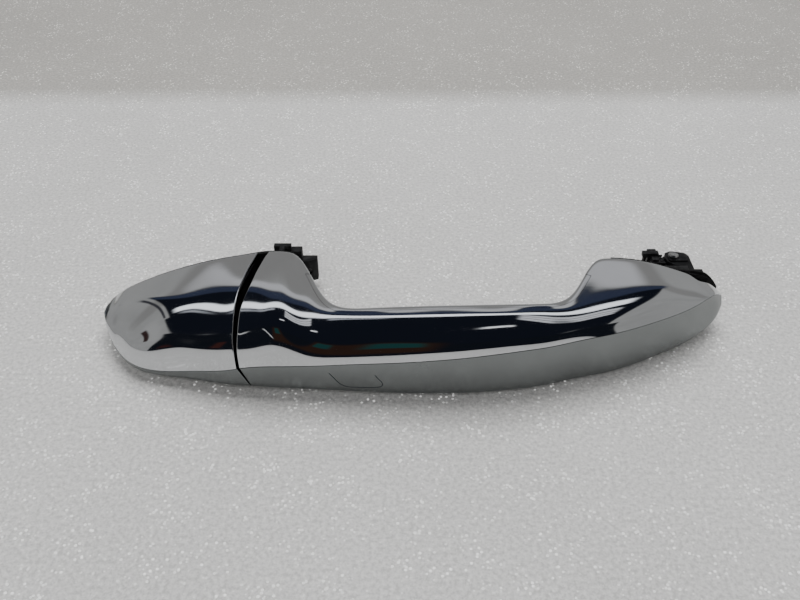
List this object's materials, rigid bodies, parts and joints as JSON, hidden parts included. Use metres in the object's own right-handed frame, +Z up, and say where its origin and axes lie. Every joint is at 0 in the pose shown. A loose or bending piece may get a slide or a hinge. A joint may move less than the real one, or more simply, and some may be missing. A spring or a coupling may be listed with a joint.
{
  "type": "car door handle",
  "caption": "Curved pull handle on two feet with a fixed end cap, hinged at the front on a vertical pin, with a latch-pulling stem at the rear.",
  "frame": {"origin": "a point of the rear gasket's door-side face, which lies on the outside of the door skin, between the cap's boss and the pull stem, at mid height of the feet", "axes": "+X along the handle from the cap (rear) to the hinge end (front), +Y into the door, +Z up as installed on a right-hand door"},
  "size_m": [0.2566, 0.0733, 0.0346],
  "materials": {
    "chrome_shell": "polished bright chrome plating on plastic, fine scratches",
    "chrome_inner": "chrome plating on the finger side",
    "black_plastic": "moulded black glass-filled plastic, fine grain",
    "core_plastic": "dark grey moulded plastic",
    "gasket_rubber": "soft black rubber",
    "steel": "zinc-plated steel",
    "bush_plastic": "natural slippery plastic",
    "ferrite": "sintered dark grey ferrite",
    "copper": "enamelled copper winding and foil",
    "board_green": "green solder mask",
    "chip_black": "moulded component packages",
    "contact_tin": "tinned contacts",
    "lead_black": "flexible insulated lead"
  },
  "bodies": {
    "door_side": {"cap_shell": "chrome_shell", "cap_base": "black_plastic", "cap_boss": "black_plastic", "cap_clips": "black_plastic", "rear_gasket": "gasket_rubber", "front_gasket": "gasket_rubber", "front_base": "black_plastic", "front_bearing": "black_plastic", "hinge_pin": "steel", "pin_clip": "steel", "bearing_screws": "steel"},
    "grip": {"outer_cover": "chrome_shell", "inner_cover": "chrome_inner", "handle_core": "core_plastic", "rear_foot_block": "black_plastic", "rear_bumpers": "gasket_rubber", "pull_stem": "black_plastic", "stem_pin": "steel", "stem_hook": "black_plastic", "hinge_arm": "black_plastic", "pin_bush": "bush_plastic", "front_foot_plate": "black_plastic", "foot_screws": "steel", "antenna_core": "ferrite", "antenna_coil": "copper", "sensor_board": "board_green", "board_parts": "chip_black", "lock_electrode": "copper", "unlock_electrode": "copper", "connector_housing": "black_plastic", "connector_pins": "contact_tin", "connector_seal": "gasket_rubber", "connector_bracket": "black_plastic", "sensor_lead": "lead_black"}
  },
  "joints": [
    {"name": "grip_swing", "type": "hinge", "parent": "door_side", "child": "grip", "pos_m": [0.181, 0.012, 0], "axis": [0, 0, 1], "range_deg": [0, 5.5], "stiffness_Nm_per_rad": 6, "springref_deg": -14.32}
  ]
}
